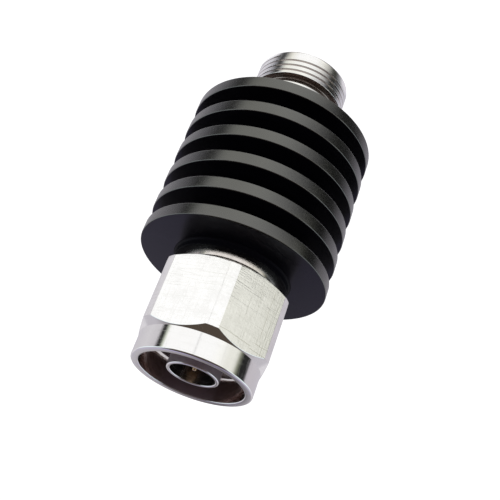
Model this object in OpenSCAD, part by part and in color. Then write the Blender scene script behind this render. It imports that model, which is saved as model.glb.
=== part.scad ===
// Fixed coaxial attenuator: a finned heat sink between a plug with a hexagonal coupling nut
// and a threaded socket. Sizes are in millimetres. The part stands on the end of its socket,
// with its axis on Z and the plug at the top.

/* [Heat sink] */
// Diameter over the fins
sink_d = 30; // [26:0.5:40]
// Number of fins
fin_count = 6; // [6:1:9]
// Thickness of one fin
fin_t = 2; // [1.6:0.1:3]
// Width of the groove between two fins
groove_w = 2.88; // [2.4:0.02:4]
// Diameter at the bottom of the grooves
core_d = 19.6; // [18:0.1:23]
// Bevel on the edges of the fins
fin_bevel = 0.15; // [0.05:0.05:0.4]
// Diameter of the boss behind the coupling nut
boss_d = 18.2; // [17:0.1:22]
// Height of that boss
boss_h = 1.05; // [0.6:0.05:2]
// Fillet between the boss and the end face
boss_fillet = 0.4; // [0.1:0.1:0.5]
// Bore that takes both connectors and the chip carrier
bore_d = 14; // [13.4:0.1:15]

/* [Coupling nut] */
// Width across the flats of the hexagon
hex_af = 19; // [18.4:0.1:22]
// Depth that the sharp corners of the hexagon are turned down by
corner_cut = 0.47; // [0.1:0.01:0.9]
// Length of the hexagon
hex_len = 11.75; // [10.5:0.05:15]
// Step from a flat down to the turned ring at the rear face
rear_step = 0.2; // [0.05:0.05:0.6]
// Angle of the rear corner bevel
rear_angle = 30; // [15:1:45]
// Step from a flat down to the round collar
collar_step = 0.15; // [0.05:0.05:0.6]
// Angle of the front corner bevel
front_angle = 40; // [15:1:50]
// Length of the round collar in front of the hexagon
collar_len = 3.65; // [2.5:0.05:6]
// Bevel on the outer edge of the rim
rim_bevel = 0.25; // [0.05:0.05:0.5]
// Depth of the plain mouth in front of the thread
mouth_depth = 3.8; // [2:0.1:5]
// Slope of the shoulder where the plain mouth meets the thread
lead_angle = 4; // [2:1:45]
// Length of the undercut behind the thread
relief_len = 2.1; // [1:0.1:3]
// Turn of the hexagon about the axis at rest
nut_turn = 28.3; // [0:0.1:60]
// Gap between the rear of the nut and the shoulder of the plug
nut_gap = 0.95; // [0.4:0.05:2]

/* [Coupling thread] */
// Outside diameter of the thread on the socket
thread_d = 15.875; // [15:0.005:16.5]
// Pitch of the thread
thread_pitch = 1.058; // [0.8:0.001:1.5]
// Length of the thread on the socket
thread_len = 5.15; // [4:0.05:7]
// Bevel on the end of the socket
thread_bevel = 0.6; // [0.2:0.05:0.9]

/* [Plug] */
// Bore of the coaxial line
line_d = 7; // [6.4:0.1:7.2]
// Wall of the ferrule
ferrule_wall = 0.55; // [0.4:0.05:0.8]
// Distance from the rim of the nut back to the end of the ferrule
ferrule_recess = 0.5; // [0.2:0.05:1.5]
// Length of the ferrule in front of the sealing face
ferrule_len = 10.4; // [9:0.1:11]
// Diameter of the neck that the nut turns on
neck_d = 13; // [12.4:0.1:13.4]
// Diameter of the shoulder that seats on the boss
shoulder_d = 15.8; // [15.2:0.1:16.8]
// Height of that shoulder
shoulder_h = 1; // [0.6:0.05:2]
// Length of the shank in the heat sink
plug_shank = 6; // [5:0.1:7]
// Diameter of the tip of the pin
pin_d = 1.65; // [1.4:0.01:1.9]
// Diameter of the flat end of the pin's cone
pin_end_d = 0.5; // [0.2:0.05:1]
// Length of the cone on the pin
pin_cone = 1.9; // [0.8:0.1:3]
// Distance from the end of the ferrule back to the end of the pin
pin_recess = 0.8; // [0.2:0.1:2]
// Distance from the end of the ferrule back to the shoulder of the pin
pin_shoulder = 5.3; // [4.6:0.1:6]
// Thickness of the sealing ring
gasket_t = 1.5; // [1:0.1:2]
// Radial width of the sealing ring
gasket_w = 1.9; // [1:0.1:2.1]

/* [Snap ring] */
// Thickness of the snap ring along the axis
ring_t = 1.1; // [0.8:0.05:1.5]
// Depth of the ring in the neck of the plug
ring_bite = 0.5; // [0.3:0.05:0.7]
// Height of the ring above the neck
ring_proud = 0.6; // [0.4:0.05:0.8]
// Distance from the rear of the nut to the ring
ring_setback = 1.9; // [1.2:0.1:2.6]
// Width of the split in the ring
ring_split = 2.4; // [1:0.1:4]

/* [Socket] */
// Length of the barrel in front of the heat sink
barrel_len = 12.9; // [11.5:0.1:15]
// Diameter of the undercut behind the thread
undercut_d = 13.6; // [12.6:0.1:14.6]
// Width of that undercut
undercut_w = 1.65; // [1:0.05:2.5]
// Depth of the socket from its end to the mating plane
socket_depth = 9.1; // [8.4:0.05:9.6]
// Bevel at the mouth of the socket
mouth_bevel = 0.5; // [0.2:0.05:0.9]
// Length of the shank in the heat sink
socket_shank = 5; // [4.4:0.1:6]
// Outside diameter of the centre conductors
contact_d = 3.04; // [2.8:0.01:3.3]
// Length of the contact in front of the mating plane
contact_reach = 4.75; // [4.2:0.05:5]
// Depth of the bore in the contact
contact_bore = 5.5; // [4.5:0.1:6.5]
// Width of the slots in the contact
contact_slot = 0.3; // [0.2:0.05:0.5]
// Length of the slots in the contact
contact_slot_len = 4.2; // [3:0.1:5]

/* [Insulators] */
// Outside diameter of the insulators and their bushes
bead_d = 9.2; // [8.6:0.1:9.8]
// Length of an insulator
bead_len = 3; // [2:0.1:3.6]
// Distance from the heat sink's face back to the socket's insulator
bead_setback = 1; // [0.4:0.1:1.8]
// Diameter of the conductors inside and behind the insulators
stem_d = 2.4; // [2:0.05:2.8]

/* [Attenuator chip] */
// Length of the ceramic chip along the axis
chip_l = 9.5; // [7:0.1:10]
// Width of the chip
chip_w = 6.4; // [4:0.1:6.6]
// Thickness of the chip
chip_t = 1; // [0.5:0.05:1.5]
// Width of a contact tab
tab_w = 1.3; // [0.8:0.05:1.8]
// Thickness of a contact tab
tab_t = 0.2; // [0.1:0.02:0.3]
// Length of a tab that lies on the chip
tab_lap = 1.2; // [0.8:0.1:2]
// Length of a tab inside the slot of its conductor
tab_seat = 1.5; // [1:0.1:2]
// Reach of a conductor into the carrier
stem_reach = 1.7; // [1.2:0.1:2.2]

/* [Carrier screws] */
// Diameter of a screw
screw_d = 1.6; // [1.2:0.1:1.8]
// Diameter of a screw's head
screw_head_d = 2.6; // [2.2:0.1:2.8]
// Height of a screw's head
screw_head_h = 0.9; // [0.6:0.1:1.1]
// Depth of a screw in the carrier's base
screw_depth = 2.8; // [2:0.1:3]
// Distance from the line's bore to a screw's axis
screw_offset = 1.4; // [1.2:0.05:1.5]
// Distance between two screws along the axis
screw_pitch = 10; // [8:0.1:12]

/* [Fits] */
// Radial clearance of a seated fit
fit = 0.04; // [0.02:0.01:0.08]
// Radial clearance between the nut and the neck it turns on
run_gap = 0.1; // [0.06:0.01:0.2]
// Clearance between the nut and the snap ring
ring_gap = 0.2; // [0.15:0.01:0.3]
// Clearance between mating parts of the coaxial line
mate_gap = 0.1; // [0.05:0.01:0.15]
// Clearance between the thread and the plain bores beside it
thread_gap = 0.21; // [0.1:0.01:0.3]
// Free space at the end of a slot, a hole or a pocket
end_gap = 0.2; // [0.1:0.05:0.3]
// Small bevel on turned edges
edge = 0.12; // [0.05:0.01:0.2]

/* [Hidden] */
$fn = 128;
fillet_steps = 6;

// Places along the axis, from the end of the socket up
fin_pitch = fin_t + groove_w;
sink_z0 = barrel_len;
sink_z1 = sink_z0 + fin_count * fin_t + (fin_count - 1) * groove_w;
boss_z = sink_z1 + boss_h;
shoulder_z = boss_z + shoulder_h;
nut_z0 = shoulder_z + nut_gap;
hex_z1 = nut_z0 + hex_len;
rim_z = hex_z1 + collar_len;
ferrule_z = rim_z - ferrule_recess;
seat_z = ferrule_z - ferrule_len;
ring_z = nut_z0 + ring_setback;
carrier_z0 = sink_z0 + socket_shank;
carrier_z1 = boss_z - plug_shank;
carrier_mid = (carrier_z0 + carrier_z1) / 2;
socket_bead_z0 = sink_z0 - bead_setback;
socket_bead_z1 = socket_bead_z0 + bead_len;
plug_bead_z1 = shoulder_z;
plug_bead_z0 = plug_bead_z1 - bead_len;
socket_stem_z = carrier_z0 + stem_reach;
plug_stem_z = carrier_z1 - stem_reach;

// Radii
sink_r = sink_d / 2;
core_r = core_d / 2;
boss_r = boss_d / 2;
bore_r = bore_d / 2;
shank_r = bore_r - fit;
line_r = line_d / 2;
ferrule_r = line_r + ferrule_wall;
socket_r = ferrule_r + mate_gap;
neck_r = neck_d / 2;
thread_r = thread_d / 2;
nut_thread_r = thread_r - 0.54127 * thread_pitch;
mouth_r = thread_r + thread_gap;
flat_r = hex_af / 2;
corner_r = flat_r / cos(30) - corner_cut;
rear_r = flat_r - rear_step;
collar_r = flat_r - collar_step;
bead_r = bead_d / 2;
pin_r = pin_d / 2;
contact_r = contact_d / 2;
stem_r = stem_d / 2;
chip_floor = -tab_t / 2 - chip_t;
screw_x = line_r + screw_offset;
screw_r = screw_d / 2;
head_r = screw_head_d / 2;
head_top = sqrt(pow(shank_r, 2) - pow(screw_x + head_r, 2)) - end_gap;
head_seat = head_top - screw_head_h;
screw_places = [
    for (x = [-screw_x, screw_x], z = [-screw_pitch / 2, screw_pitch / 2]) [x, 0, carrier_mid + z]
];

// A turned solid from its profile of radius and height
module turned(profile) {
    rotate_extrude() polygon(profile);
}

// A plain ring between two heights
module ring(outer, inner, z0, z1) {
    turned([[inner, z0], [outer, z0], [outer, z1], [inner, z1]]);
}

// Profile points of one fin, from its lower face to its upper face
function fin_points(z) = [
    [core_r, z], [sink_r - fin_bevel, z], [sink_r, z + fin_bevel],
    [sink_r, z + fin_t - fin_bevel], [sink_r - fin_bevel, z + fin_t], [core_r, z + fin_t]
];

// Quarter-round fillet from the end face up the side of the boss
function fillet_points() = [
    for (i = [0:fillet_steps])
        let (a = 90 * i / fillet_steps)
        [boss_r + boss_fillet * (1 - sin(a)), sink_z1 + boss_fillet * (1 - cos(a))]
];

module heat_sink() {
    fins = [for (i = [0:fin_count - 1]) each fin_points(sink_z0 + i * fin_pitch)];
    // The first and last fins run in to the bore and the boss without a core point
    body = [for (i = [1:len(fins) - 2]) fins[i]];
    boss = concat(fillet_points(), [[boss_r, boss_z - edge], [boss_r - edge, boss_z], [bore_r, boss_z]]);
    color([0.09, 0.09, 0.1]) turned(concat([[bore_r, sink_z0]], body, boss));
}

// Hexagon with its corners turned down and bevelled at both ends
module nut_hexagon() {
    rear_bevel = (corner_r - rear_r) * tan(rear_angle);
    front_bevel = (corner_r - collar_r) * tan(front_angle);
    intersection() {
        translate([0, 0, nut_z0]) rotate(nut_turn) linear_extrude(hex_len)
            circle(r = flat_r / cos(30), $fn = 6);
        turned([
            [0, nut_z0], [rear_r, nut_z0], [corner_r, nut_z0 + rear_bevel],
            [corner_r, hex_z1 - front_bevel], [collar_r, hex_z1], [0, hex_z1]
        ]);
    }
}

// Inside of the nut: rear bore with the ring's groove, undercut, thread and plain mouth
module nut_inside() {
    bore = neck_r + run_gap;
    groove = neck_r + ring_proud + ring_gap;
    groove_z0 = ring_z - ring_gap;
    groove_z1 = ring_z + ring_t + ring_gap;
    relief_z = seat_z + relief_len;
    mouth_z = rim_z - mouth_depth;
    lead = (mouth_r - nut_thread_r) * tan(lead_angle);
    turned([
        [0, nut_z0 - edge], [bore + 2 * edge, nut_z0 - edge], [bore, nut_z0 + edge],
        [bore, groove_z0], [groove, groove_z0], [groove, groove_z1], [bore, groove_z1],
        [bore, seat_z], [mouth_r, seat_z], [mouth_r, relief_z],
        [nut_thread_r, relief_z], [nut_thread_r, mouth_z - lead], [mouth_r, mouth_z],
        [mouth_r, rim_z - edge], [mouth_r + 2 * edge, rim_z + edge], [0, rim_z + edge]
    ]);
}

module coupling_nut() {
    color([0.82, 0.82, 0.8]) difference() {
        union() {
            nut_hexagon();
            // The collar's round bar runs back inside the hexagon
            turned([
                [0, seat_z], [collar_r, seat_z], [collar_r, rim_z - rim_bevel],
                [collar_r - rim_bevel, rim_z], [0, rim_z]
            ]);
        }
        nut_inside();
    }
}

// Split ring that holds the nut on the neck of the plug
module snap_ring() {
    inner = neck_r - ring_bite;
    outer = neck_r + ring_proud;
    color([0.7, 0.68, 0.6]) difference() {
        ring(outer, inner, ring_z, ring_z + ring_t);
        translate([0, -ring_split / 2, ring_z - end_gap]) cube([outer + end_gap, ring_split, ring_t + 2 * end_gap]);
    }
}

module gasket() {
    color([0.85, 0.84, 0.8]) ring(neck_r - fit, neck_r - fit - gasket_w, seat_z, seat_z + gasket_t);
}

// Outer conductor of the plug: shank, shoulder, neck with the ring's groove, and ferrule
module plug_body() {
    groove_r = neck_r - ring_bite - fit;
    bead_bore = bead_r + fit;
    color([0.78, 0.78, 0.76]) turned([
        [bead_bore, carrier_z1], [shank_r, carrier_z1], [shank_r, boss_z],
        [shoulder_d / 2, boss_z], [shoulder_d / 2, shoulder_z - edge], [shoulder_d / 2 - edge, shoulder_z],
        [neck_r, shoulder_z], [neck_r, ring_z - fit], [groove_r, ring_z - fit],
        [groove_r, ring_z + ring_t + fit], [neck_r, ring_z + ring_t + fit],
        [neck_r, seat_z - edge], [neck_r - edge, seat_z], [ferrule_r, seat_z],
        [ferrule_r, ferrule_z - edge], [ferrule_r - edge, ferrule_z], [line_r + edge, ferrule_z],
        [line_r, ferrule_z - edge], [line_r, plug_bead_z1], [bead_bore, plug_bead_z1]
    ]);
}

module plug_insulator() {
    color([0.93, 0.93, 0.9]) ring(bead_r, stem_r + fit, plug_bead_z0, plug_bead_z1);
}

module plug_bush() {
    color([0.78, 0.66, 0.36]) ring(bead_r, line_r, carrier_z1, plug_bead_z0);
}

// Slot across the inner end of a conductor, which takes a chip's tab
module tab_slot(z0, z1) {
    half = tab_t / 2 + fit;
    translate([-contact_r, -half, z0]) cube([contact_d, 2 * half, z1 - z0]);
}

module plug_pin() {
    tip = ferrule_z - pin_recess;
    step = ferrule_z - pin_shoulder;
    color([0.83, 0.66, 0.3]) difference() {
        turned([
            [0, plug_stem_z], [stem_r, plug_stem_z], [stem_r, plug_bead_z1], [contact_r, plug_bead_z1],
            [contact_r, step - edge], [contact_r - edge, step], [pin_r, step],
            [pin_r, tip - pin_cone], [pin_end_d / 2, tip], [0, tip]
        ]);
        tab_slot(plug_stem_z - end_gap, plug_stem_z + tab_seat + end_gap);
    }
}

// Outer conductor of the socket: threaded barrel with an undercut, and shank
module socket_body() {
    bead_bore = bead_r + fit;
    undercut_r = undercut_d / 2;
    undercut_z = thread_len + undercut_w;
    color([0.8, 0.8, 0.78]) turned([
        [socket_r + mouth_bevel, 0], [thread_r - thread_bevel, 0], [thread_r, thread_bevel],
        [thread_r, thread_len - edge], [thread_r - edge, thread_len], [undercut_r, thread_len],
        [undercut_r, undercut_z], [thread_r - edge, undercut_z], [thread_r, undercut_z + edge],
        [thread_r, sink_z0], [shank_r, sink_z0], [shank_r, carrier_z0], [bead_bore, carrier_z0],
        [bead_bore, socket_bead_z0], [line_r, socket_bead_z0], [line_r, socket_depth],
        [socket_r, socket_depth], [socket_r, mouth_bevel]
    ]);
}

module socket_insulator() {
    color([0.93, 0.93, 0.9]) ring(bead_r, stem_r + fit, socket_bead_z0, socket_bead_z1);
}

module socket_bush() {
    color([0.78, 0.66, 0.36]) ring(bead_r, line_r, socket_bead_z1, carrier_z0);
}

module socket_contact() {
    tip = socket_depth - contact_reach;
    bore = pin_r + mate_gap / 2;
    color([0.83, 0.66, 0.3]) difference() {
        turned([
            [0, tip + contact_bore], [bore, tip + contact_bore], [bore, tip + edge], [bore + edge, tip],
            [contact_r - 2 * edge, tip], [contact_r, tip + 2 * edge], [contact_r, socket_bead_z0],
            [stem_r, socket_bead_z0], [stem_r, socket_stem_z], [0, socket_stem_z]
        ]);
        for (turn = [0, 90])
            rotate(turn) translate([-contact_d, -contact_slot / 2, tip - end_gap])
                cube([2 * contact_d, contact_slot, contact_slot_len + end_gap]);
        tab_slot(socket_stem_z - tab_seat - end_gap, socket_stem_z + end_gap);
    }
}

// Half of the round carrier, on one side of the plane through the axis
module carrier_half(side) {
    intersection() {
        translate([0, 0, carrier_z0]) cylinder(r = shank_r, h = carrier_z1 - carrier_z0);
        translate([-bore_d, side > 0 ? 0 : -bore_d, carrier_z0])
            cube([2 * bore_d, bore_d, carrier_z1 - carrier_z0]);
    }
}

// Stands a shape on the axis of one of the four screws that clamp the carrier
module at_screw(place) {
    translate(place) rotate([-90, 0, 0]) children();
}

module carrier_base() {
    pocket_l = chip_l + 2 * end_gap;
    pocket_w = chip_w + 2 * mate_gap;
    channel = (carrier_z1 - carrier_z0 - pocket_l) / 2;
    color([0.76, 0.63, 0.38]) difference() {
        carrier_half(-1);
        for (z = [carrier_z0 - end_gap, carrier_z1 - channel])
            translate([0, 0, z]) cylinder(r = line_r, h = channel + end_gap);
        translate([-pocket_w / 2, chip_floor, carrier_mid - pocket_l / 2])
            cube([pocket_w, bore_d, pocket_l]);
        for (place = screw_places) at_screw(place) translate([0, 0, -screw_depth - end_gap])
            cylinder(r = screw_r + fit, h = screw_depth + 2 * end_gap);
    }
}

module carrier_cap() {
    color([0.76, 0.63, 0.38]) difference() {
        carrier_half(1);
        translate([0, 0, carrier_z0 - end_gap]) cylinder(r = line_r, h = carrier_z1 - carrier_z0 + 2 * end_gap);
        for (place = screw_places) at_screw(place) {
            translate([0, 0, -end_gap]) cylinder(r = screw_r + mate_gap, h = bore_d);
            translate([0, 0, head_seat]) cylinder(r = head_r + mate_gap, h = bore_d);
        }
    }
}

// One slotted screw, with its head sunk in the carrier's cap
module carrier_screw(place) {
    slot_w = screw_head_d / 6;
    color([0.7, 0.7, 0.68]) at_screw(place) difference() {
        union() {
            translate([0, 0, -screw_depth]) cylinder(r = screw_r, h = screw_depth + head_seat);
            translate([0, 0, head_seat]) cylinder(r = head_r, h = screw_head_h);
        }
        translate([-head_r - end_gap, -slot_w / 2, head_top - screw_head_h / 2])
            cube([screw_head_d + 2 * end_gap, slot_w, screw_head_h]);
    }
}

module attenuator_chip() {
    color([0.9, 0.9, 0.86]) translate([-chip_w / 2, chip_floor, carrier_mid - chip_l / 2])
        cube([chip_w, chip_t, chip_l]);
}

// Flat tab from the chip into the slot of a conductor
module tab(z0, z1) {
    translate([-tab_w / 2, -tab_t / 2, z0]) cube([tab_w, tab_t, z1 - z0]);
}

module input_tab() {
    color([0.8, 0.8, 0.8]) tab(carrier_mid + chip_l / 2 - tab_lap, plug_stem_z + tab_seat);
}

module output_tab() {
    color([0.8, 0.8, 0.8]) tab(socket_stem_z - tab_seat, carrier_mid - chip_l / 2 + tab_lap);
}

heat_sink();
coupling_nut();
snap_ring();
gasket();
plug_body();
plug_insulator();
plug_bush();
plug_pin();
socket_body();
socket_insulator();
socket_bush();
socket_contact();
carrier_base();
carrier_cap();
carrier_screw(screw_places[0]);  // carrier_screw_1
carrier_screw(screw_places[1]);  // carrier_screw_2
carrier_screw(screw_places[2]);  // carrier_screw_3
carrier_screw(screw_places[3]);  // carrier_screw_4
attenuator_chip();
input_tab();
output_tab();
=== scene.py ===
import math

import bmesh
import bpy
from mathutils import Matrix, Vector


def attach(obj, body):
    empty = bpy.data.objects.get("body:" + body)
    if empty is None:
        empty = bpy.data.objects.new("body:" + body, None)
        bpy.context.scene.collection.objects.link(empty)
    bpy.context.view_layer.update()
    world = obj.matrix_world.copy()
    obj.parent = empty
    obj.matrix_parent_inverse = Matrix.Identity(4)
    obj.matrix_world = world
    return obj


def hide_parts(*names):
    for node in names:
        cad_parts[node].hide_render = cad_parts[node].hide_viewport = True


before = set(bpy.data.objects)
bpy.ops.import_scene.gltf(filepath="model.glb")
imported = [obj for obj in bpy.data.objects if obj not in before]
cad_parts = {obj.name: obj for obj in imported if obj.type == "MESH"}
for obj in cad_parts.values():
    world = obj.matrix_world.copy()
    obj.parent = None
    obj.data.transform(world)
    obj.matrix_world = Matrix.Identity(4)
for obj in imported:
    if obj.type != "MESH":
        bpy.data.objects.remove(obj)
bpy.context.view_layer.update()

# Sizes are in millimetres, with the axis on Z and the end of the socket at zero
MM = 0.001
FIT = 0.04

# Heat sink
SINK_R = 15.0
CORE_R = 9.8
BORE_R = 7.0
BOSS_R = 9.1
FIN_COUNT = 6
FIN_T = 2.0
FIN_PITCH = 4.88
SINK_Z0 = 12.9
SINK_Z1 = 39.3
BOSS_Z = 40.35

# Coupling nut
FLAT_COUNT = 6
HALF_SIDE = 180 / FLAT_COUNT
FLAT_R = 9.5
CORNER_R = 10.5
COLLAR_R = 9.35
REAR_R = 9.3
NUT_Z0 = 42.3
HEX_Z1 = 54.05
RIM_Z = 57.7
REAR_BEVEL = 0.69
FRONT_BEVEL = 0.96
NUT_TURN = math.radians(28.3)
MOUTH_R = 8.1475
MOUTH_Z = 53.9
NUT_THREAD_R = 7.365
LEAD_Z = 53.845
RELIEF_Z = 48.9
SEAT_Z = 46.8
REAR_BORE_R = 6.6
RING_GROOVE_R = 7.3
RING_GROOVE_Z0 = 44.0
RING_GROOVE_Z1 = 45.5

# Plug
NECK_R = 6.5
SHOULDER_R = 7.9
SHOULDER_Z = 41.35
SHOULDER_TAPER = 0.13
TAPER_Z = 40.7
SHANK_R = 6.96
FERRULE_R = 4.05
LINE_R = 3.5
FERRULE_Z = 57.2
PIN_R = 0.825
PIN_TIP_R = 0.25
PIN_TIP_Z = 56.4
PIN_TAPER = 1.9
PIN_STEP_Z = 51.9
PIN_END_Z = 32.65
CONDUCTOR_R = 1.52
STEM_R = 1.2
RING_Z0 = 44.16
RING_Z1 = 45.34
RING_SEAT_R = 5.96
GASKET_W = 1.9
GASKET_T = 1.5

# Carrier between the plug and the socket
CARRIER_Z0 = 17.9
CARRIER_Z1 = 34.35
SCREW_COUNT = 4

# Socket
THREAD_LEN = 5.15
THREAD_START_Z = 1.25
THREAD_START = math.radians(310)
UNDERCUT_Z = 6.8
UNDERCUT_R = 6.8
SOCKET_R = 4.15
SOCKET_DEPTH = 9.1
SOCKET_BEAD_Z0 = 11.9
CONTACT_TIP_Z = 4.35
CONTACT_END_Z = 19.6
CONTACT_FIT = 0.05
CONTACT_BORE_R = PIN_R + CONTACT_FIT
CONTACT_BORE_DEPTH = 5.5
FINGER_LEN = 4.2
FINGER_GAP = 0.3
BEAD_R = 4.6
BEAD_BORE_R = 4.64
BEAD_LEN = 3.0

# Slots in the inner ends of the pin and the contact, which hold the tabs, and the tool for any slot
TAB_GAP = 0.28
TAB_DEPTH = 1.7
SLOT_WIDTH = 4.8
SLOT_OVERRUN = 0.5

# Coupling thread, with each groove as radius and half-width along one flank of its tool
THREAD_R = 7.9375
PITCH = 1.058
NUT_TURNS = 6
NUT_RUN_IN = 1.0
NUT_FLANK = [(NUT_THREAD_R - 0.3, 0.52), (NUT_THREAD_R, 0.46), (THREAD_R + 0.1, 0.07)]
SOCKET_TURNS = 4
GROOVE_HALF = 0.3
SOCKET_FLANK = [
    (THREAD_R - 0.32, 0.03), (THREAD_R - 0.03, 0.16), (THREAD_R, 0.19), (THREAD_R + 0.3, GROOVE_HALF),
]

# Widths of the broken corners, from fine to broad
FLAT_BREAK = 0.05
FINE_BREAK = 0.08
SMALL_BREAK = 0.1
BEAD_BREAK = 0.12
LIP_BREAK = 0.14
SHANK_BREAK = 0.15
FIN_BREAK = 0.16
STEP_BREAK = 0.2
GASKET_BREAK = 0.25
COLLAR_BREAK = 0.26
ROUND_BREAK = 0.4
MOUTH_BREAK = 0.5
LEAD_BREAK = 0.6

# How finely round forms are divided, and how their shading is split
SPIN_STEPS = 300
RING_STEPS = 160
PIN_STEPS = 120
THREAD_STEPS = 150
STEP_ANGLE = 2 * math.pi / SPIN_STEPS
CREASE = math.radians(32)
BROAD_FACE = 20.0
MERGE = 1e-5
ON_AXIS = 1e-6

# How near a face lies to an edge or a surface to count as part of it, and how it is turned
EDGE_DEPTH = 0.2
STEP_DEPTH = 0.1
SKIN = 0.05
TOUCH = 0.02
FLAT_TOUCH = 0.002
LEVEL = 0.95
INWARDS = -1.0

# Scratches on one flat of the nut: one along the axis and three across it, as place, first and last
WORN_FLAT = 3
MARK_ALONG = (-2.4, 43.4, 51.4)
MARKS_ACROSS = ((52.8, -1.6, 5.0), (52.1, -5.0, -1.5), (53.2, -5.0, -1.0))
MARK_WIDTH = 0.09
MARK_FADE = 0.5
MARK_WANDER = 0.3
MARK_TONE = (0.66, 0.65, 0.6, 1)

# Turn and stretch of the hairlines along the axis and round it
HAIRLINES = (((0.0, 0.25, 0.4), (1.0, 1.0, 0.045)), ((0.3, 0.0, 1.1), (0.06, 0.06, 1.0)))

# Rings, hairlines and wanders per metre, and how the rings drift and gather in bands
NICKEL_RINGS = 9000.0
OXIDE_RINGS = 7000.0
NICKEL_HAIRLINES = 900.0
WANDERS = 500.0
RING_DRIFT = 0.012
BANDS_PER_RING = 0.12

# Depths of relief in metres, and the refractive index of the dyed oxide
TOOL_RELIEF = 0.00001
DENT_RELIEF = 0.00002
OXIDE_IOR = 1.77


# Shader building blocks

def add(tree, kind, inputs=None, **settings):
    """A new node, with its settings, and with a value or another node's socket on each input."""
    made = tree.nodes.new(kind)
    for name, value in settings.items():
        setattr(made, name, value)
    for name, value in (inputs or {}).items():
        if isinstance(value, bpy.types.NodeSocket):
            tree.links.new(value, made.inputs[name])
        else:
            made.inputs[name].default_value = value
    return made


def ramp(tree, value, stops):
    """A colour ramp with its stops given as place and grey value or colour."""
    made = add(tree, "ShaderNodeValToRGB", {"Fac": value})
    bands = made.color_ramp.elements
    while len(bands) < len(stops):
        bands.new(0.5)
    for band, (place, tone) in zip(bands, stops):
        band.position = place
        band.color = (*tone, 1) if isinstance(tone, tuple) else (tone, tone, tone, 1)
    return made.outputs["Color"]


def maths(tree, operation, first, second=0.0):
    return add(tree, "ShaderNodeMath", {0: first, 1: second}, operation=operation).outputs[0]


def weighted(tree, first, first_weight, second, second_weight):
    """The sum of two values, each times its weight."""
    parts = maths(tree, "MULTIPLY", first, first_weight), maths(tree, "MULTIPLY", second, second_weight)
    return maths(tree, "ADD", *parts)


def spread(tree, value, first, last):
    """A value that goes from zero to one between two measures."""
    made = add(tree, "ShaderNodeMapRange", {"Value": value, "From Min": first, "From Max": last})
    return made.outputs["Result"]


def mix_colours(tree, share, first, second, blend="MIX"):
    made = add(tree, "ShaderNodeMix", {0: share, 6: first, 7: second}, data_type="RGBA", blend_type=blend)
    return made.outputs[2]


def noise(tree, vector, scale, detail=2.0):
    made = add(tree, "ShaderNodeTexNoise", {"Vector": vector, "Scale": scale, "Detail": detail})
    return made.outputs["Fac"]


def object_place(tree):
    return add(tree, "ShaderNodeTexCoord").outputs["Object"]


def along_direction(tree, place, direction):
    made = add(tree, "ShaderNodeVectorMath", {0: place, 1: direction}, operation="DOT_PRODUCT")
    return made.outputs["Value"]


def new_group(name, inputs, outputs):
    """An empty shader node group with float inputs and their defaults, and float outputs."""
    group = bpy.data.node_groups.new(name, "ShaderNodeTree")
    for label, value in inputs.items():
        socket = group.interface.new_socket(label, in_out="INPUT", socket_type="NodeSocketFloat")
        socket.default_value = value
    for label in outputs:
        group.interface.new_socket(label, in_out="OUTPUT", socket_type="NodeSocketFloat")
    entry = group.nodes.new("NodeGroupInput")
    end = group.nodes.new("NodeGroupOutput")
    return group, entry.outputs, end.inputs


def make_lathe_marks():
    """Fine rings left by the tool: they follow height on a barrel and radius on a face."""
    group, given, result = new_group("lathe_marks", {"Rings per metre": NICKEL_RINGS}, ["Rings", "Bands"])
    split = add(group, "ShaderNodeSeparateXYZ", {0: object_place(group)}).outputs
    flat = add(group, "ShaderNodeCombineXYZ", {"X": split["X"], "Y": split["Y"]}).outputs[0]
    radius = add(group, "ShaderNodeVectorMath", {0: flat}, operation="LENGTH").outputs["Value"]
    drift = maths(group, "MULTIPLY", split["X"], RING_DRIFT)
    along = add(group, "ShaderNodeCombineXYZ", {"X": radius, "Y": split["Z"], "Z": drift}).outputs[0]
    group.links.new(noise(group, along, given["Rings per metre"], detail=3.0), result["Rings"])
    broad = maths(group, "MULTIPLY", given["Rings per metre"], BANDS_PER_RING)
    group.links.new(noise(group, along, broad), result["Bands"])
    return group


def make_hand_scratches():
    """Thin wandering hairlines along the axis and round it, from handling and polishing."""
    inputs = {"Density": NICKEL_HAIRLINES, "Thinness": 40.0}
    group, given, result = new_group("hand_scratches", inputs, ["Lines"])
    place = object_place(group)
    layers = []
    for turn, stretch in HAIRLINES:
        mapping = {"Vector": place, "Rotation": turn, "Scale": stretch}
        turned_place = add(group, "ShaderNodeMapping", mapping).outputs[0]
        field = noise(group, turned_place, given["Density"])
        distance = maths(group, "ABSOLUTE", maths(group, "SUBTRACT", field, 0.5))
        width = maths(group, "MULTIPLY", distance, given["Thinness"])
        layers.append(maths(group, "SUBTRACT", 1.0, width))
    both = maths(group, "MAXIMUM", *layers)
    group.links.new(maths(group, "MAXIMUM", both, 0.0), result["Lines"])
    return group


def make_surface_grain():
    """Small grain of a plated, dyed or moulded surface, and the slow cloudiness under it."""
    inputs = {"Grain per metre": 16000.0, "Clouds per metre": 220.0}
    group, given, result = new_group("surface_grain", inputs, ["Grain", "Clouds"])
    place = object_place(group)
    group.links.new(noise(group, place, given["Grain per metre"]), result["Grain"])
    group.links.new(noise(group, place, given["Clouds per metre"], detail=3.0), result["Clouds"])
    return group


LATHE_MARKS = make_lathe_marks()
HAND_SCRATCHES = make_hand_scratches()
SURFACE_GRAIN = make_surface_grain()


def use_group(tree, group, **values):
    made = tree.nodes.new("ShaderNodeGroup")
    made.node_tree = group
    for name, value in values.items():
        made.inputs[name.replace("_", " ")].default_value = value
    return made.outputs


def new_finish(name):
    """A material with its Principled shader."""
    material = bpy.data.materials.new(name)
    material.use_nodes = True
    return material, material.node_tree, material.node_tree.nodes["Principled BSDF"]


def tone_between(tree, value, dark, light, low=0.3, high=0.7):
    return ramp(tree, value, [(low, dark), (high, light)])


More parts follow.
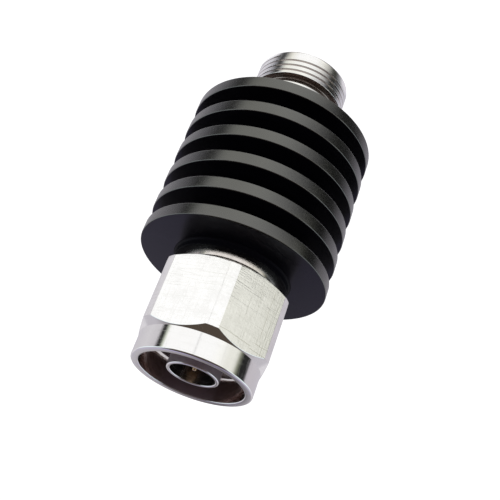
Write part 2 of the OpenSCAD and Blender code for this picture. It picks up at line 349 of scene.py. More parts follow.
def roughen(tree, shader, value, rough, low=0.25, high=0.75):
    """Lets a value set the roughness between two measures."""
    tree.links.new(ramp(tree, value, [(low, rough[0]), (high, rough[1])]), shader.inputs["Roughness"])


def bump(tree, shader, height, strength, depth=TOOL_RELIEF):
    made = add(tree, "ShaderNodeBump", {"Height": height, "Strength": strength, "Distance": depth})
    tree.links.new(made.outputs["Normal"], shader.inputs["Normal"])


def turned_metal(name, dark, light, rough, ring_depth=0.25):
    """Turned and plated metal: tool rings, cloudy tone and thin scratches."""
    material, tree, shader = new_finish(name)
    rings = use_group(tree, LATHE_MARKS, Rings_per_metre=NICKEL_RINGS)["Rings"]
    lines = use_group(tree, HAND_SCRATCHES, Density=NICKEL_HAIRLINES)["Lines"]
    clouds = use_group(tree, SURFACE_GRAIN)["Clouds"]
    shader.inputs["Metallic"].default_value = 1.0
    tree.links.new(tone_between(tree, clouds, dark, light), shader.inputs["Base Color"])
    ring_rough = ramp(tree, rings, [(0.3, rough[0]), (0.75, rough[1])])
    worn = maths(tree, "ADD", ring_rough, maths(tree, "MULTIPLY", lines, 0.1))
    tree.links.new(worn, shader.inputs["Roughness"])
    height = maths(tree, "SUBTRACT", rings, maths(tree, "MULTIPLY", lines, 0.25))
    bump(tree, shader, height, ring_depth)
    return material


def flat_direction(side):
    """The direction that a flat of the nut faces."""
    turn = NUT_TURN + math.radians(HALF_SIDE + 2 * HALF_SIDE * side)
    return Vector((math.cos(turn), math.sin(turn), 0))


def line_mask(tree, value, along, place, first, last):
    """A mask for one straight scratch: at a place across it, between two places along it."""
    off = maths(tree, "ABSOLUTE", maths(tree, "SUBTRACT", value, place * MM))
    thin = maths(tree, "SUBTRACT", 1.0, maths(tree, "DIVIDE", off, MARK_WIDTH * MM))
    begun = spread(tree, along, first * MM, (first + MARK_FADE) * MM)
    ended = spread(tree, along, last * MM, (last - MARK_FADE) * MM)
    inside = maths(tree, "MINIMUM", begun, ended)
    return maths(tree, "MULTIPLY", maths(tree, "MAXIMUM", thin, 0.0), inside)


def long_marks(tree):
    """The long scratches on the worn flat of the nut."""
    place = object_place(tree)
    outward = flat_direction(WORN_FLAT)
    sideways = Vector((-outward.y, outward.x, 0))
    wander = maths(tree, "MULTIPLY", noise(tree, place, WANDERS), MARK_WANDER * MM)
    out = along_direction(tree, place, outward)
    side = maths(tree, "ADD", along_direction(tree, place, sideways), wander)
    height = maths(tree, "ADD", add(tree, "ShaderNodeSeparateXYZ", {0: place}).outputs["Z"], wander)
    marks = line_mask(tree, side, height, *MARK_ALONG)
    for mark in MARKS_ACROSS:
        marks = maths(tree, "MAXIMUM", marks, line_mask(tree, height, side, *mark))
    on_flat = spread(tree, out, (FLAT_R - EDGE_DEPTH) * MM, (FLAT_R - STEP_DEPTH) * MM)
    return maths(tree, "MULTIPLY", marks, on_flat)


def milled_metal(name, dark, light, rough, marks=None):
    """Milled and plated flats: small dents, brushed hairlines, cloudy tone and crossing scratches."""
    material, tree, shader = new_finish(name)
    fine = use_group(tree, HAND_SCRATCHES, Density=2600.0, Thinness=14.0)["Lines"]
    coarse = use_group(tree, HAND_SCRATCHES, Density=700.0, Thinness=60.0)["Lines"]
    grain = use_group(tree, SURFACE_GRAIN, Grain_per_metre=2400.0, Clouds_per_metre=420.0)
    shader.inputs["Metallic"].default_value = 1.0
    cloudy = weighted(tree, grain["Clouds"], 0.6, grain["Grain"], 0.4)
    worn = maths(tree, "SUBTRACT", cloudy, maths(tree, "MULTIPLY", coarse, 0.16))
    tone = tone_between(tree, worn, dark, light, 0.38, 0.56)
    if marks:
        tone = mix_colours(tree, marks(tree), tone, MARK_TONE)
    tree.links.new(tone, shader.inputs["Base Color"])
    roughen(tree, shader, weighted(tree, fine, 0.5, grain["Grain"], 0.5), rough, 0.1, 0.8)
    lines = weighted(tree, fine, 0.25, coarse, -0.3)
    bump(tree, shader, maths(tree, "ADD", lines, grain["Grain"]), 0.3, DENT_RELIEF)
    return material


def dyed_aluminium(name, dark, light, rough, specular, tint, grain_scale, ring_depth):
    """Black anodised aluminium: dyed oxide with fine grain over the rings of the tool."""
    material, tree, shader = new_finish(name)
    rings = use_group(tree, LATHE_MARKS, Rings_per_metre=OXIDE_RINGS)
    grain = use_group(tree, SURFACE_GRAIN, Grain_per_metre=grain_scale, Clouds_per_metre=160.0)
    lines = use_group(tree, HAND_SCRATCHES, Density=420.0, Thinness=90.0)["Lines"]
    shader.inputs["IOR"].default_value = OXIDE_IOR
    shader.inputs["Specular IOR Level"].default_value = specular
    shader.inputs["Specular Tint"].default_value = tint
    cloudy = weighted(tree, rings["Bands"], 0.6, grain["Clouds"], 0.4)
    tree.links.new(tone_between(tree, cloudy, dark, light), shader.inputs["Base Color"])
    matt = maths(tree, "ADD", grain["Grain"], maths(tree, "MULTIPLY", lines, -0.12))
    roughen(tree, shader, matt, rough)
    height = maths(tree, "ADD", rings["Rings"], maths(tree, "MULTIPLY", grain["Grain"], 0.6))
    bump(tree, shader, height, ring_depth)
    return material


def soft_solid(name, dark, light, rough, grain_scale, grain_depth):
    """Moulded, pressed or fired material: cloudy colour and a fine grain."""
    material, tree, shader = new_finish(name)
    grain = use_group(tree, SURFACE_GRAIN, Grain_per_metre=grain_scale, Clouds_per_metre=500.0)
    tree.links.new(tone_between(tree, grain["Clouds"], dark, light), shader.inputs["Base Color"])
    roughen(tree, shader, grain["Grain"], rough)
    bump(tree, shader, grain["Grain"], grain_depth)
    return material


# Finishes, each with its darkest and lightest tone and its roughness

# Painted sheen and reflection on the heat sink: one black anodised finish in three copies. The rims get a
# slightly lighter base and strong warm-tinted gloss as a painted highlight, the faces a weak bluish gloss
# as a painted blue reflection, and the boss behind the nut the weakest gloss as painted shade.
BLUE_BLACK = (0.0012, 0.0011, 0.002), (0.003, 0.0027, 0.005)
BLUE_PAINTED_REFLECTION = (0.84, 0.8, 1, 1)
WARM_PAINTED_REFLECTION = (1, 1, 0.97, 1)
BLACK_RIM = dyed_aluminium("black_anodised_rims", (0.002, 0.002, 0.002), (0.006, 0.006, 0.0055),
                           (0.18, 0.3), 0.9, WARM_PAINTED_REFLECTION, 4500.0, 0.3)
BLACK_FACE = dyed_aluminium("black_anodised_faces", *BLUE_BLACK,
                            (0.27, 0.36), 0.1, BLUE_PAINTED_REFLECTION, 14000.0, 0.2)
BLACK_BOSS = dyed_aluminium("black_anodised_boss", *BLUE_BLACK,
                            (0.45, 0.55), 0.03, BLUE_PAINTED_REFLECTION, 14000.0, 0.2)
NICKEL = turned_metal("polished_nickel", (0.86, 0.85, 0.84), (0.9, 0.895, 0.885), (0.08, 0.15), 0.06)
NICKEL_FLATS = milled_metal("milled_nickel", (0.87, 0.865, 0.85), (0.95, 0.945, 0.935), (0.07, 0.14),
                            long_marks)
# Painted shade inside the nut: darker, reddish copies of the polished nickel, dull on the thread and glossy
# in the mouth.
NICKEL_INSIDE = turned_metal("dull_nickel_painted_shade", (0.58, 0.5, 0.49), (0.68, 0.6, 0.59), (0.5, 0.62))
NICKEL_MOUTH = turned_metal("mouth_nickel_painted_shade", (0.66, 0.55, 0.54), (0.74, 0.63, 0.62), (0.1, 0.18), 0.04)
# Painted shade in the ferrule's bore and in the socket thread's groove: a darker copy of the polished
# nickel.
NICKEL_BORE = turned_metal("bore_nickel_painted_shade", (0.54, 0.5, 0.49), (0.64, 0.6, 0.585), (0.14, 0.22), 0.04)
# Painted shade and painted lilac reflection on the ferrule's outside, deep in the nut: a darker,
# lilac-tinted copy of the nickel, also rougher.
NICKEL_SATIN = turned_metal("satin_nickel_painted_shade", (0.6, 0.55, 0.58), (0.69, 0.63, 0.67), (0.42, 0.52), 0.1)
# Painted shade on the shoulder between the nut and the heat sink: a darker, warmer copy of the polished
# nickel.
NICKEL_SHOULDER = turned_metal("shoulder_nickel_painted_shade", (0.72, 0.67, 0.63), (0.8, 0.75, 0.71), (0.18, 0.24), 0.05)
# Painted shade in the undercut under the heat sink: a dark brown copy of the polished nickel.
NICKEL_UNDERCUT = turned_metal("undercut_nickel_painted_shade", (0.31, 0.27, 0.25), (0.39, 0.34, 0.315), (0.16, 0.26))
GOLD = turned_metal("gold_plate", (0.56, 0.41, 0.25), (0.67, 0.51, 0.33), (0.2, 0.3))
BRASS = turned_metal("bare_brass", (0.62, 0.44, 0.17), (0.76, 0.58, 0.28), (0.2, 0.34))
BRONZE = turned_metal("spring_bronze", (0.55, 0.38, 0.2), (0.68, 0.5, 0.3), (0.22, 0.36))
STEEL = turned_metal("screw_steel", (0.5, 0.5, 0.49), (0.62, 0.62, 0.6), (0.24, 0.38))
SILVER = milled_metal("silver_tab", (0.72, 0.72, 0.7), (0.84, 0.84, 0.82), (0.2, 0.34))
PTFE = soft_solid("ptfe", (0.78, 0.78, 0.76), (0.88, 0.88, 0.86), (0.36, 0.5), 5000.0, 0.1)
SILICONE = soft_solid("silicone", (0.5, 0.48, 0.44), (0.6, 0.58, 0.54), (0.5, 0.64), 7000.0, 0.18)
CERAMIC = soft_solid("fired_ceramic", (0.76, 0.76, 0.72), (0.88, 0.88, 0.84), (0.55, 0.7), 12000.0, 0.2)


# Mesh building blocks, which work in millimetres

def turn_about_axis(bm, angle):
    bmesh.ops.rotate(bm, verts=bm.verts[:], cent=(0, 0, 0), matrix=Matrix.Rotation(angle, 3, "Z"))


def turned(profile, start=0.0, steps=SPIN_STEPS):
    """A turned solid from its closed profile of radius, height and, where a corner is broken, its width."""
    bm = bmesh.new()
    corners = [bm.verts.new((point[0], 0, point[1])) for point in profile]
    bm.faces.new(corners)
    widths = {}
    for corner, point in zip(corners, profile):
        if len(point) > 2:
            widths.setdefault(point[2], []).append(corner)
    for width, group in widths.items():
        bmesh.ops.bevel(bm, geom=group, offset=width, offset_type="OFFSET", affect="VERTICES",
                        segments=3, profile=0.5, material=-1, clamp_overlap=True)
    bmesh.ops.delete(bm, geom=bm.faces[:], context="FACES_ONLY")
    on_axis = [e for e in bm.edges if max(abs(v.co.x) for v in e.verts) < ON_AXIS]
    bmesh.ops.delete(bm, geom=on_axis, context="EDGES")
    turn_about_axis(bm, start)
    bmesh.ops.spin(bm, geom=bm.verts[:] + bm.edges[:], cent=(0, 0, 0), axis=(0, 0, 1),
                   angle=2 * math.pi, steps=steps, use_merge=True)
    bmesh.ops.remove_doubles(bm, verts=bm.verts[:], dist=MERGE)
    bmesh.ops.recalc_face_normals(bm, faces=bm.faces[:])
    return bm


def thread_cutter(flank, z_first, turns, start=0.0):
    """A coil that cuts the thread's groove, from its first height and angle."""
    section = [(radius, -half) for radius, half in flank]
    section += [(radius, half) for radius, half in reversed(flank)]
    bm = bmesh.new()
    tool = bm.faces.new([bm.verts.new((radius, 0, z_first + height)) for radius, height in section])
    turn_about_axis(bm, start)
    bmesh.ops.spin(bm, geom=[tool], cent=(0, 0, 0), axis=(0, 0, 1), dvec=(0, 0, PITCH / THREAD_STEPS),
                   angle=2 * math.pi * turns, steps=THREAD_STEPS * turns)
    bmesh.ops.recalc_face_normals(bm, faces=bm.faces[:])
    return bm


def link_object(bm, name):
    """The mesh, still in millimetres, as an object at the origin."""
    mesh = bpy.data.meshes.new(name)
    bm.to_mesh(mesh)
    bm.free()
    made = bpy.data.objects.new(name, mesh)
    bpy.context.scene.collection.objects.link(made)
    return made


def slot_tool(gap, low, high, turn=0.0):
    """A cutter for a slot across the axis, between two heights."""
    bm = bmesh.new()
    bmesh.ops.create_cube(bm, size=1)
    bmesh.ops.scale(bm, vec=(SLOT_WIDTH, gap, high - low), verts=bm.verts[:])
    bmesh.ops.translate(bm, vec=(0, 0, (low + high) / 2), verts=bm.verts[:])
    turn_about_axis(bm, turn)
    return link_object(bm, "slot_tool")


def apply_modifiers(piece):
    """Makes the shape that the modifiers give a piece its own mesh."""
    bpy.context.view_layer.update()
    graph = bpy.context.evaluated_depsgraph_get()
    shaped = piece.evaluated_get(graph)
    mesh = bpy.data.meshes.new_from_object(shaped, preserve_all_data_layers=True, depsgraph=graph)
    piece.modifiers.clear()
    piece.data = mesh


def cut_away(blank, cutter):
    """Takes what the cutter meets out of the blank, and removes the cutter."""
    modifier = blank.modifiers.new("cut", "BOOLEAN")
    modifier.object = cutter
    modifier.operation = "DIFFERENCE"
    modifier.solver = "EXACT"
    apply_modifiers(blank)
    bpy.data.objects.remove(cutter)


def dress(piece, body, slot, finishes, *nodes, choose=None):
    """Shades a piece, brings it to metres and lets it ride on its body in place of its CAD nodes."""
    piece.data.shade_smooth()
    piece.data.set_sharp_from_angle(angle=CREASE)
    for face in piece.data.polygons:
        face.use_smooth = face.area < BROAD_FACE
    even = piece.modifiers.new("even_shading", "WEIGHTED_NORMAL")
    even.keep_sharp = True
    apply_modifiers(piece)
    for finish in finishes:
        piece.data.materials.append(finish)
    for face in piece.data.polygons:
        face.material_index = finishes.index(choose(face.center, face.normal)) if choose else 0
    piece.data.transform(Matrix.Scale(MM, 4))
    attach(piece, body)
    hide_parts(*nodes)


def from_axis(place):
    return place.to_2d().length


def faces_axis(middle, normal):
    return normal.x * middle.x + normal.y * middle.y < INWARDS


# Heat sink

def heat_sink_profile():
    points = [(BORE_R, SINK_Z0, SMALL_BREAK)]
    for fin in range(FIN_COUNT):
        low = SINK_Z0 + fin * FIN_PITCH
        if fin > 0:
            points.append((CORE_R, low, SMALL_BREAK))
        points += [(SINK_R, low, FIN_BREAK), (SINK_R, low + FIN_T, FIN_BREAK)]
        if fin < FIN_COUNT - 1:
            points.append((CORE_R, low + FIN_T, SMALL_BREAK))
    boss = [(BOSS_R, SINK_Z1, ROUND_BREAK), (BOSS_R, BOSS_Z, LIP_BREAK), (BORE_R, BOSS_Z, SMALL_BREAK)]
    return points + boss


def sink_finish(middle, normal):
    """Painted sheen and shade: the rims of the fins are brighter than their sides through a lighter,
    glossier copy of the finish, and the boss behind the nut is a matt copy that reads darker.
    """
    if middle.z > SINK_Z1 + TOUCH / 2:
        return BLACK_BOSS
    on_rim = from_axis(middle) > SINK_R - EDGE_DEPTH and abs(normal.z) < LEVEL
    return BLACK_RIM if on_rim else BLACK_FACE


def build_heat_sink():
    sink = link_object(turned(heat_sink_profile()), "finned_heat_sink")
    finishes = [BLACK_RIM, BLACK_FACE, BLACK_BOSS]
    dress(sink, "root", "black_anodised", finishes, "heat_sink", choose=sink_finish)


# Coupling nut

def nut_profile():
    inside = [
        (REAR_BORE_R, NUT_Z0, STEP_BREAK), (REAR_BORE_R, RING_GROOVE_Z0), (RING_GROOVE_R, RING_GROOVE_Z0),
        (RING_GROOVE_R, RING_GROOVE_Z1), (REAR_BORE_R, RING_GROOVE_Z1), (REAR_BORE_R, SEAT_Z),
        (MOUTH_R, SEAT_Z), (MOUTH_R, RELIEF_Z), (NUT_THREAD_R, RELIEF_Z), (NUT_THREAD_R, LEAD_Z),
        (MOUTH_R, MOUTH_Z),
    ]
    outside = [
        (MOUTH_R, RIM_Z, LIP_BREAK), (COLLAR_R, RIM_Z, COLLAR_BREAK), (COLLAR_R, HEX_Z1),
        (CORNER_R, HEX_Z1 - FRONT_BEVEL), (CORNER_R, NUT_Z0 + REAR_BEVEL), (REAR_R, NUT_Z0, SMALL_BREAK),
    ]
    return inside + outside


def mill_flats(bm):
    """Cuts the six flats off the turned blank and breaks their edges."""
    milled = []
    for side in range(FLAT_COUNT):
        outward = flat_direction(side)
        everything = bm.verts[:] + bm.edges[:] + bm.faces[:]
        cut = bmesh.ops.bisect_plane(bm, geom=everything, dist=MERGE, plane_co=outward * FLAT_R,
                                     plane_no=outward, clear_outer=True)
        outline = [e for e in cut["geom_cut"] if isinstance(e, bmesh.types.BMEdge)]
        milled += bmesh.ops.edgeloop_fill(bm, edges=outline)["faces"]
    bmesh.ops.recalc_face_normals(bm, faces=bm.faces[:])
    rims = {edge for flat in milled for edge in flat.edges}
    bmesh.ops.bevel(bm, geom=list(rims), offset=FLAT_BREAK, offset_type="OFFSET", affect="EDGES",
                    segments=2, profile=0.5, material=-1, clamp_overlap=True)


def nut_finish(middle, normal):
    """Polished outside, milled flats and corners, and painted shade inside: a dull, darker copy of the
    nickel on the thread and a darker reddish copy in the mouth.
    """
    if faces_axis(middle, normal) and middle.z < RIM_Z - EDGE_DEPTH:
        return NICKEL_INSIDE if middle.z < MOUTH_Z else NICKEL_MOUTH
    on_corner = from_axis(middle) > CORNER_R - TOUCH
    reach = max(middle.dot(flat_direction(side)) for side in range(FLAT_COUNT))
    return NICKEL_FLATS if on_corner or reach > FLAT_R - FLAT_TOUCH else NICKEL


def build_coupling_nut():
    start = NUT_TURN + math.radians(HALF_SIDE) + STEP_ANGLE / 2
    bm = turned(nut_profile(), start)
    mill_flats(bm)
    nut = link_object(bm, "coupling_nut_shell")
    tool = thread_cutter(NUT_FLANK, RELIEF_Z - NUT_RUN_IN, NUT_TURNS)
    cut_away(nut, link_object(tool, "nut_thread_tool"))
    finishes = [NICKEL, NICKEL_FLATS, NICKEL_INSIDE, NICKEL_MOUTH]
    dress(nut, "nut", "nickel_plate", finishes, "coupling_nut", choose=nut_finish)


# Plug

def plug_profile():
    shank = [
        (BEAD_BORE_R, CARRIER_Z1, SMALL_BREAK), (SHANK_R, CARRIER_Z1, SHANK_BREAK), (SHANK_R, BOSS_Z),
    ]
    shoulder = [
        (SHOULDER_R, BOSS_Z), (SHOULDER_R, TAPER_Z), (SHOULDER_R - SHOULDER_TAPER, SHOULDER_Z, FINE_BREAK),
    ]
    neck = [
        (NECK_R, SHOULDER_Z), (NECK_R, RING_Z0), (RING_SEAT_R, RING_Z0), (RING_SEAT_R, RING_Z1),
        (NECK_R, RING_Z1), (NECK_R, SEAT_Z, BEAD_BREAK),
    ]
    ferrule = [
        (FERRULE_R, SEAT_Z), (FERRULE_R, FERRULE_Z, FIN_BREAK), (LINE_R, FERRULE_Z, LIP_BREAK),
        (LINE_R, SHOULDER_Z), (BEAD_BORE_R, SHOULDER_Z),
    ]
    return shank + shoulder + neck + ferrule


def plug_finish(middle, normal):
    """Polished, but with painted shade in darker copies of the nickel: soft on the shoulder, in the bore,
    and satin round the ferrule.
    """
    if BOSS_Z < middle.z < SHOULDER_Z and from_axis(middle) > SHANK_R + STEP_DEPTH:
        return NICKEL_SHOULDER
    if from_axis(middle) > FERRULE_R + SKIN or not SEAT_Z < middle.z < FERRULE_Z - EDGE_DEPTH:
        return NICKEL
    return NICKEL_BORE if faces_axis(middle, normal) else NICKEL_SATIN


def build_bead(name, low, node):
    """A bead that holds a conductor's stem, from its lower face."""
    bead = turned([
        (BEAD_R, low, BEAD_BREAK), (BEAD_R, low + BEAD_LEN, BEAD_BREAK),
        (STEM_R + FIT, low + BEAD_LEN, FINE_BREAK), (STEM_R + FIT, low, FINE_BREAK),
    ], steps=RING_STEPS)
    dress(link_object(bead, name), "root", "ptfe", [PTFE], node)


def build_gasket():
    outer = NECK_R - FIT
    inner = outer - GASKET_W
    top = SEAT_Z + GASKET_T
    gasket = turned([
        (outer, SEAT_Z, GASKET_BREAK), (outer, top, ROUND_BREAK),
        (inner, top, ROUND_BREAK), (inner, SEAT_Z, GASKET_BREAK),
    ], steps=RING_STEPS)
    dress(link_object(gasket, "sealing_ring"), "root", "silicone", [SILICONE], "gasket")


def build_pin():
    pin = turned([
        (0, PIN_END_Z), (STEM_R, PIN_END_Z, SMALL_BREAK), (STEM_R, SHOULDER_Z),
        (CONDUCTOR_R, SHOULDER_Z, FINE_BREAK), (CONDUCTOR_R, PIN_STEP_Z, STEP_BREAK), (PIN_R, PIN_STEP_Z),
        (PIN_R, PIN_TIP_Z - PIN_TAPER, ROUND_BREAK), (PIN_TIP_R, PIN_TIP_Z, LIP_BREAK), (0, PIN_TIP_Z),
    ], steps=PIN_STEPS)
    shaft = link_object(pin, "centre_pin")
    cut_away(shaft, slot_tool(TAB_GAP, PIN_END_Z - SLOT_OVERRUN, PIN_END_Z + TAB_DEPTH))
    dress(shaft, "root", "gold_plate", [GOLD], "plug_pin")


def build_plug():
    shell = link_object(turned(plug_profile()), "plug_ferrule_body")
    finishes = [NICKEL, NICKEL_BORE, NICKEL_SATIN, NICKEL_SHOULDER]
    dress(shell, "root", "nickel_plate", finishes, "plug_body", choose=plug_finish)
    build_gasket()
    build_bead("plug_bead", SHOULDER_Z - BEAD_LEN, "plug_insulator")
    build_pin()


# Socket

def socket_profile():
    barrel = [
        (SOCKET_R, 0, MOUTH_BREAK), (THREAD_R, 0, LEAD_BREAK), (THREAD_R, THREAD_LEN, BEAD_BREAK),
        (UNDERCUT_R, THREAD_LEN, STEP_BREAK), (UNDERCUT_R, UNDERCUT_Z, STEP_BREAK),
        (THREAD_R, UNDERCUT_Z, LIP_BREAK), (THREAD_R, SINK_Z0),
    ]
    shank = [(SHANK_R, SINK_Z0), (SHANK_R, CARRIER_Z0, SHANK_BREAK), (BEAD_BORE_R, CARRIER_Z0, SMALL_BREAK)]
    bore = [
        (BEAD_BORE_R, SOCKET_BEAD_Z0), (LINE_R, SOCKET_BEAD_Z0), (LINE_R, SOCKET_DEPTH),
        (SOCKET_R, SOCKET_DEPTH),
    ]
    return barrel + shank + bore


def socket_finish(middle, normal):
    """Polished, with painted shade: darker copies of the nickel in the thread's groove and in the undercut
    behind it.
    """
    if not UNDERCUT_R - EDGE_DEPTH < from_axis(middle) < THREAD_R - TOUCH:
        return NICKEL
    if THREAD_LEN - TOUCH < middle.z < UNDERCUT_Z + TOUCH:
        return NICKEL_UNDERCUT
    return NICKEL_BORE if THREAD_START_Z - GROOVE_HALF < middle.z < THREAD_LEN else NICKEL


def build_contact():
    contact = turned([
        (0, CONTACT_TIP_Z + CONTACT_BORE_DEPTH), (CONTACT_BORE_R, CONTACT_TIP_Z + CONTACT_BORE_DEPTH),
        (CONTACT_BORE_R, CONTACT_TIP_Z, LIP_BREAK), (CONDUCTOR_R, CONTACT_TIP_Z, COLLAR_BREAK),
        (CONDUCTOR_R, SOCKET_BEAD_Z0, FINE_BREAK), (STEM_R, SOCKET_BEAD_Z0),
        (STEM_R, CONTACT_END_Z, SMALL_BREAK), (0, CONTACT_END_Z),
    ], steps=PIN_STEPS)
    fingers = link_object(contact, "slotted_contact")
    for turn in (0.0, math.pi / 2):
        tool = slot_tool(FINGER_GAP, CONTACT_TIP_Z - SLOT_OVERRUN, CONTACT_TIP_Z + FINGER_LEN, turn)
        cut_away(fingers, tool)
    cut_away(fingers, slot_tool(TAB_GAP, CONTACT_END_Z - TAB_DEPTH, CONTACT_END_Z + SLOT_OVERRUN))
    dress(fingers, "root", "gold_plate", [GOLD], "socket_contact")


def build_socket():
    barrel = link_object(turned(socket_profile()), "threaded_socket")
    tool = thread_cutter(SOCKET_FLANK, THREAD_START_Z, SOCKET_TURNS, THREAD_START)
    cut_away(barrel, link_object(tool, "socket_thread_tool"))
    finishes = [NICKEL, NICKEL_UNDERCUT, NICKEL_BORE]
    dress(barrel, "root", "nickel_plate", finishes, "socket_body", choose=socket_finish)
    build_bead("socket_bead", SOCKET_BEAD_Z0, "socket_insulator")
    build_contact()


# Pieces inside, which keep their CAD shapes

def dress_cad(node, finish):
    """Keeps a CAD node and gives it its finish."""
    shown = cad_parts[node]
    shown.data.materials.clear()
    shown.data.materials.append(finish)


def finish_inner_pieces():
    finishes = {
        "snap_ring": BRONZE, "plug_bush": BRASS, "socket_bush": BRASS, "carrier_base": BRASS,
        "carrier_cap": BRASS, "attenuator_chip": CERAMIC, "input_tab": SILVER, "output_tab": SILVER,
    }
    for number in range(SCREW_COUNT):
        finishes[f"carrier_screw_{number + 1}"] = STEEL
    for node, finish in finishes.items():
        dress_cad(node, finish)


# Camera, with its place in millimetres and the directions of the picture's right and upper side
LENS = 60.645
SENSOR_WIDTH = 36.0
CLIP = (0.005, 20.0)
CAMERA_PLACE = Vector((-1.50, -116.73, 96.06))
CAMERA_RIGHT = Vector((-0.93672, -0.1628, -0.30994))
CAMERA_UP = Vector((0.35010, -0.43559, -0.82928))

# Lamp, in metres
KEY_PLACE = Vector((0.10, -0.56, 0.36))
KEY_TARGET = Vector((0, 0, 0.03))
KEY_SIZE = (1.3, 0.30)
KEY_RADIANCE = 1.3

# Floor
FLOOR_R = 4000.0
FLOOR_DROP = 0.02
FLOOR_SIDES = 96
PAPER = (0.86, 0.86, 0.86, 1)
SHADED_PAPER = (0.4, 0.4, 0.4, 1)
PAPER_GLOW = 0.96
WHITE = (1, 1, 1, 1)

# Tones of the studio's walls, by azimuth in degrees from one side (180) round the front (270)
ROOM_STRENGTH = 1.1
LILAC_GREY = (0.52, 0.5, 0.55)
DIM_TOP = (0.075, 0.058, 0.046, 1)
DARK_GAP = 0.02
UPPER_TONES = [
    (180, DARK_GAP), (190, DARK_GAP), (196.5, (0.2, 0.21, 0.16)), (199, (0.36, 0.37, 0.3)),
    (202, (0.65, 0.65, 0.59)), (206, (0.8, 0.8, 0.74)), (212, (0.85, 0.85, 0.79)),
    (219, (0.82, 0.82, 0.76)), (238, (1, 1, 0.97)), (252, 1.0), (278.8, 1.0), (280, 0.45), (281.2, 1.0),
    (337, 1.0), (340.5, (0.62, 0.66, 0.56)), (345.5, DARK_GAP), (352, DARK_GAP), (357, (0.58, 0.56, 0.59)),
    (381, (0.64, 0.62, 0.65)), (450, LILAC_GREY), (518, (0.54, 0.51, 0.55)), (528, (0.52, 0.49, 0.53)),
    (532, DARK_GAP), (540, DARK_GAP),
]
LOWER_TONES = [
    (180, DARK_GAP), (207, DARK_GAP), (220, (0.19, 0.19, 0.21)), (240, (0.52, 0.52, 0.53)),
    (260, (0.86, 0.87, 0.83)), (280, (1, 1, 0.93)), (300, (0.86, 0.86, 0.8)), (322, (0.88, 0.88, 0.82)),
    (331, (0.82, 0.83, 0.76)), (337, 0.4), (342, 0.1), (347, 0.04), (352, 0.06), (360, (0.2, 0.2, 0.22)),
    (380, (0.48, 0.47, 0.52)), (400, (0.64, 0.62, 0.67)), (450, LILAC_GREY), (500, (0.5, 0.48, 0.54)),
    (520, (0.28, 0.27, 0.3)), (530, 0.1), (535, DARK_GAP), (540, DARK_GAP),
]
LOWEST_TONES = [
    (180, (0.25, 0.25, 0.26)), (188, 0.1), (197, (0.04, 0.04, 0.03)), (205, (0.08, 0.08, 0.07)),
    (212, (0.26, 0.26, 0.24)), (220, (0.5, 0.49, 0.45)), (240, (0.95, 0.94, 0.88)), (256, 1.0), (304, 1.0),
    (320, (0.85, 0.84, 0.78)), (330, (0.5, 0.49, 0.44)), (338, 0.15), (344, 0.05), (350, 0.08),
    (358, (0.25, 0.25, 0.26)), (368, (0.66, 0.64, 0.67)), (380, (0.98, 0.97, 1)), (420, (0.98, 0.97, 1)),
    (450, (0.75, 0.73, 0.78)), (500, (0.75, 0.73, 0.78)), (520, (0.72, 0.7, 0.75)),
    (532, (0.4, 0.4, 0.42)), (540, (0.25, 0.25, 0.26)),
]

# Tones of the high back by its place across, and the tints of its upper part
BACK_HALF = 0.5
BACK_TONES = [
    (-0.5, (0.68, 0.66, 0.7)), (-0.1, (0.42, 0.4, 0.43)), (-0.03, (0.12, 0.11, 0.12)),
    (0.0, (0.19, 0.175, 0.185)), (0.06, (0.4, 0.38, 0.4)), (0.09, (0.46, 0.44, 0.47)),
    (0.5, (0.68, 0.66, 0.7)),
]
BLUE_TINT = (0.98, 0.95, 1.42, 1)
SIDE_TINT = (0.75, 0.74, 0.76, 1)
SIDE_TOP = (0.84, 0.95, 1, 1)

# Where the parts of the studio meet, as a share of the unit direction
SKIRT_Z = (-0.655, -0.645)
WALL_Z = (-0.478, -0.455)
TENT_Z = (0.0, 0.12)
TINT_Z = (0.37, 0.43)
TOP_Z = (0.8, 0.93)
TINT_X = (0.15, 0.4)
SIDE_X = (0.72, 0.82)
BACK_Y = (-0.1, 0.4)


def build_camera():
    data = bpy.data.cameras.new("camera")
    data.sensor_width = SENSOR_WIDTH
    data.lens = LENS
    data.clip_start, data.clip_end = CLIP
    camera = bpy.data.objects.new("camera", data)
    bpy.context.scene.collection.objects.link(camera)
    back = CAMERA_RIGHT.cross(CAMERA_UP)
    view = Matrix((CAMERA_RIGHT, CAMERA_UP, back)).transposed().to_4x4()
    view.translation = CAMERA_PLACE * MM
    camera.matrix_world = view
    bpy.context.scene.camera = camera


def build_key_lamp():
    """A soft lamp in front, which polished metal doesn't mirror."""
    data = bpy.data.lights.new("front_key", "AREA")
    data.shape = "RECTANGLE"
    data.size, data.size_y = KEY_SIZE
    data.energy = KEY_RADIANCE * math.pi * KEY_SIZE[0] * KEY_SIZE[1]
    lamp = bpy.data.objects.new("front_key", data)
    bpy.context.scene.collection.objects.link(lamp)
    lamp.location = KEY_PLACE
    lamp.rotation_euler = (KEY_TARGET - KEY_PLACE).to_track_quat("-Z", "Y").to_euler()
    lamp.visible_camera = False
    lamp.visible_glossy = False


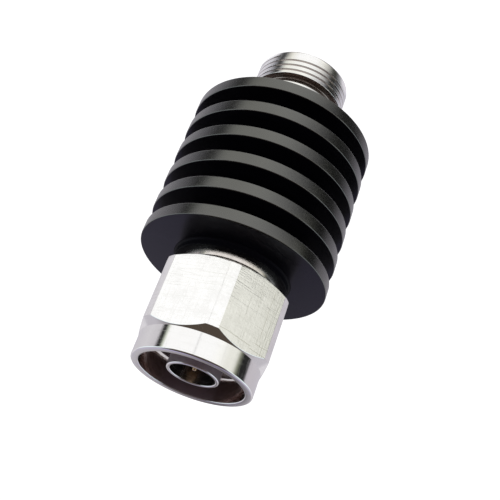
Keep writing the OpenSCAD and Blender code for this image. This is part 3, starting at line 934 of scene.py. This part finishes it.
def build_floor():
    """Pale paper under the object. Polished metal looks past it, at the studio's own walls."""
    bm = bmesh.new()
    bmesh.ops.create_circle(bm, cap_ends=True, segments=FLOOR_SIDES, radius=FLOOR_R)
    bmesh.ops.translate(bm, vec=(0, 0, -FLOOR_DROP), verts=bm.verts[:])
    floor = link_object(bm, "floor")
    floor.data.transform(Matrix.Scale(MM, 4))
    material = bpy.data.materials.new("studio_paper")
    material.use_nodes = True
    tree = material.node_tree
    tree.nodes.clear()
    paper = add(tree, "ShaderNodeBsdfDiffuse", {"Color": PAPER}).outputs[0]
    shadow = add(tree, "ShaderNodeBsdfDiffuse", {"Color": SHADED_PAPER}).outputs[0]
    white = add(tree, "ShaderNodeEmission", {"Color": WHITE, "Strength": PAPER_GLOW}).outputs[0]
    seen = add(tree, "ShaderNodeAddShader", {0: shadow, 1: white}).outputs[0]
    camera_ray = add(tree, "ShaderNodeLightPath").outputs["Is Camera Ray"]
    shown = add(tree, "ShaderNodeMixShader", {0: camera_ray, 1: paper, 2: seen}).outputs[0]
    tree.links.new(shown, add(tree, "ShaderNodeOutputMaterial").inputs["Surface"])
    floor.data.materials.append(material)
    floor.visible_glossy = False
    floor.visible_transmission = False


def wall_tones(tree, turn, tones):
    return ramp(tree, turn, [((azimuth - 180) / 360, tone) for azimuth, tone in tones])


def build_world():
    """A paper tent: bright in front, a dark gap at each side of that, lilac grey behind and a dim top."""
    world = bpy.data.worlds.new("studio")
    bpy.context.scene.world = world
    world.use_nodes = True
    tree = world.node_tree
    tree.nodes.clear()
    direction = add(tree, "ShaderNodeTexCoord").outputs["Generated"]
    split = add(tree, "ShaderNodeSeparateXYZ", {0: direction}).outputs
    x, y, z = split["X"], split["Y"], split["Z"]
    turn = spread(tree, maths(tree, "ARCTAN2", y, x), -math.pi, math.pi)
    rings = (LOWEST_TONES, LOWER_TONES, UPPER_TONES)
    lowest, lower, upper = [wall_tones(tree, turn, tones) for tones in rings]
    skirt = mix_colours(tree, spread(tree, z, *SKIRT_Z), lowest, lower)
    walls = mix_colours(tree, spread(tree, z, *WALL_Z), skirt, upper)
    across = spread(tree, x, -BACK_HALF, BACK_HALF)
    back = ramp(tree, across, [(place + BACK_HALF, tone) for place, tone in BACK_TONES])
    sideways = maths(tree, "ABSOLUTE", x)
    high_tint = mix_colours(tree, spread(tree, sideways, *TINT_X), BLUE_TINT, SIDE_TINT)
    tinted = mix_colours(tree, spread(tree, z, *TINT_Z), back, high_tint, "MULTIPLY")
    behind = mix_colours(tree, spread(tree, y, *BACK_Y), DIM_TOP, tinted)
    beside = mix_colours(tree, spread(tree, sideways, *SIDE_X), behind, SIDE_TOP)
    above = mix_colours(tree, spread(tree, z, *TOP_Z), beside, DIM_TOP)
    tent = mix_colours(tree, spread(tree, z, *TENT_Z), walls, above)
    camera_ray = add(tree, "ShaderNodeLightPath").outputs["Is Camera Ray"]
    white = add(tree, "ShaderNodeBackground", {"Color": WHITE, "Strength": 1.0}).outputs[0]
    room = add(tree, "ShaderNodeBackground", {"Color": tent, "Strength": ROOM_STRENGTH}).outputs[0]
    shown = add(tree, "ShaderNodeMixShader", {0: camera_ray, 1: room, 2: white}).outputs[0]
    tree.links.new(shown, add(tree, "ShaderNodeOutputWorld").inputs["Surface"])


build_heat_sink()
build_coupling_nut()
build_plug()
build_socket()
finish_inner_pieces()
build_camera()
build_floor()
build_world()
build_key_lamp()
bpy.context.scene.view_settings.view_transform = "Standard"
